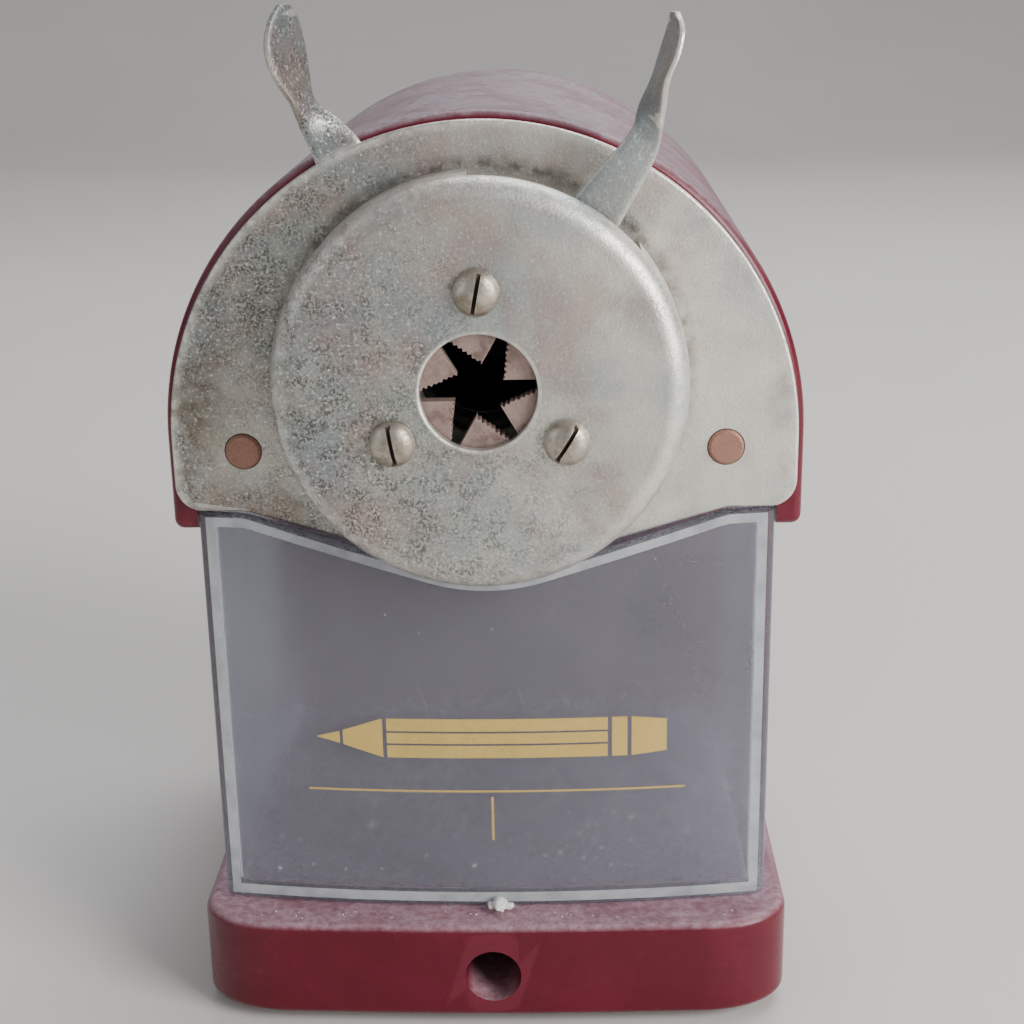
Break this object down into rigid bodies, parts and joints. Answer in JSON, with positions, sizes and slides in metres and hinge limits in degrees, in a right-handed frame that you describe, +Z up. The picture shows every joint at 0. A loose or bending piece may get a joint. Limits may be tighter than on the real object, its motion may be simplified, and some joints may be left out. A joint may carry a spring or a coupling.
{
  "type": "desk pencil sharpener",
  "caption": "Desk pencil sharpener with a rear crank, an iris chuck with finger levers on a sprung sliding front plate, and a clear shavings drawer.",
  "frame": {"origin": "centre of the underside of the rubber pad under the base, where the sharpener stands", "axes": "+Z up, +X to the right seen from the pencil side, +Y the way the pencil goes in, so the crank is at +Y"},
  "size_m": [0.075, 0.1169, 0.1241],
  "materials": {
    "maroon_plastic": "glossy dark maroon moulded plastic, dusty on top",
    "maroon_base_plastic": "glossy dark maroon moulded plastic",
    "clear_plastic": "clear, slightly smoky plastic with fine scratches",
    "plated_steel": "dull plated sheet steel, grimy and speckled",
    "coppered_steel": "coppery plated steel",
    "nickel_screw": "warm nickel plating",
    "tool_steel": "dark hardened tool steel",
    "zinc_casting": "grey die-cast zinc",
    "spring_steel": "bright drawn steel",
    "bronze": "oiled sintered bronze",
    "black_plastic": "satin black moulded plastic",
    "black_rubber": "matt black rubber"
  },
  "bodies": {
    "frame": {"housing_shell": "maroon_plastic", "base": "maroon_base_plastic", "base_pad": "black_rubber", "base_screw_1": "spring_steel", "base_screw_2": "spring_steel", "pencil_guide": "black_plastic", "ring_gear": "zinc_casting", "rear_bearing_cap": "black_plastic", "cap_screw_1": "spring_steel", "cap_screw_2": "spring_steel", "shaft_bush": "bronze", "carriage_spring_1": "spring_steel", "carriage_spring_2": "spring_steel"},
    "drawer": {"shavings_drawer": "clear_plastic"},
    "carriage": {"front_plate": "plated_steel", "chuck_cover": "plated_steel", "cover_screw_1": "nickel_screw", "cover_screw_2": "nickel_screw", "cover_screw_3": "nickel_screw", "jaw_pin_1": "spring_steel", "jaw_pin_2": "spring_steel", "jaw_pin_3": "spring_steel", "guide_rod_1": "coppered_steel", "guide_rod_2": "coppered_steel", "rod_collar_1": "spring_steel", "rod_collar_2": "spring_steel", "lever_return_spring": "spring_steel"},
    "lever": {"lever_ring": "plated_steel"},
    "jaw_1": {"chuck_jaw_1": "coppered_steel"},
    "jaw_2": {"chuck_jaw_2": "coppered_steel"},
    "jaw_3": {"chuck_jaw_3": "coppered_steel"},
    "jaw_4": {"chuck_jaw_4": "coppered_steel"},
    "jaw_5": {"chuck_jaw_5": "coppered_steel"},
    "jaw_6": {"chuck_jaw_6": "coppered_steel"},
    "crank": {"crank_shaft": "spring_steel", "cutter_carrier": "zinc_casting", "cutter_axle": "spring_steel", "crank_arm": "plated_steel", "crank_nut": "nickel_screw", "knob_pin": "spring_steel"},
    "cutter": {"helical_cutter": "tool_steel", "cutter_pinion": "tool_steel"},
    "knob": {"crank_knob": "black_plastic"}
  },
  "joints": [
    {"name": "drawer_slide", "type": "slide", "parent": "frame", "child": "drawer", "axis": [0, -1, 0], "range_m": [0, 0.055]},
    {"name": "carriage_slide", "type": "slide", "parent": "frame", "child": "carriage", "axis": [0, -1, 0], "range_m": [0, 0.036], "stiffness_N_per_m": 180, "springref_m": -0.012, "deforming": ["carriage_spring_1", "carriage_spring_2"]},
    {"name": "lever_turn", "type": "hinge", "parent": "carriage", "child": "lever", "pos_m": [0, -0.0366, 0.0829], "axis": [0, -1, 0], "range_deg": [0, 28], "stiffness_Nm_per_rad": 0.12, "springref_deg": -20.05, "deforming": ["lever_return_spring"]},
    {"name": "jaw_1_turn", "type": "hinge", "parent": "carriage", "child": "jaw_1", "pos_m": [0.0097, -0.0384, 0.0885], "axis": [0, -1, 0], "range_deg": [-36, 0]},
    {"name": "jaw_2_turn", "type": "hinge", "parent": "carriage", "child": "jaw_2", "pos_m": [0, -0.0384, 0.0941], "axis": [0, -1, 0], "range_deg": [-36, 0]},
    {"name": "jaw_3_turn", "type": "hinge", "parent": "carriage", "child": "jaw_3", "pos_m": [-0.0097, -0.0384, 0.0885], "axis": [0, -1, 0], "range_deg": [-36, 0]},
    {"name": "jaw_4_turn", "type": "hinge", "parent": "carriage", "child": "jaw_4", "pos_m": [-0.0097, -0.0384, 0.0773], "axis": [0, -1, 0], "range_deg": [-36, 0]},
    {"name": "jaw_5_turn", "type": "hinge", "parent": "carriage", "child": "jaw_5", "pos_m": [0, -0.0384, 0.0717], "axis": [0, -1, 0], "range_deg": [-36, 0]},
    {"name": "jaw_6_turn", "type": "hinge", "parent": "carriage", "child": "jaw_6", "pos_m": [0.0097, -0.0384, 0.0773], "axis": [0, -1, 0], "range_deg": [-36, 0]},
    {"name": "crank_turn", "type": "hinge", "parent": "frame", "child": "crank", "pos_m": [0, 0.038, 0.0829], "axis": [0, 1, 0], "continuous": true},
    {"name": "cutter_spin", "type": "hinge", "parent": "crank", "child": "cutter", "pos_m": [0, 0.0441, 0.0829], "axis": [0, 0.9799, -0.1994], "continuous": true},
    {"name": "knob_spin", "type": "hinge", "parent": "crank", "child": "knob", "pos_m": [0, 0.058, 0.0449], "axis": [0, 1, 0], "continuous": true}
  ],
  "couplings": [
    {"joint": "jaw_1_turn", "follows": "lever_turn", "ratio": -1.2857},
    {"joint": "jaw_2_turn", "follows": "lever_turn", "ratio": -1.2857},
    {"joint": "jaw_3_turn", "follows": "lever_turn", "ratio": -1.2857},
    {"joint": "jaw_4_turn", "follows": "lever_turn", "ratio": -1.2857},
    {"joint": "jaw_5_turn", "follows": "lever_turn", "ratio": -1.2857},
    {"joint": "jaw_6_turn", "follows": "lever_turn", "ratio": -1.2857},
    {"joint": "cutter_spin", "follows": "crank_turn", "ratio": -2}
  ]
}
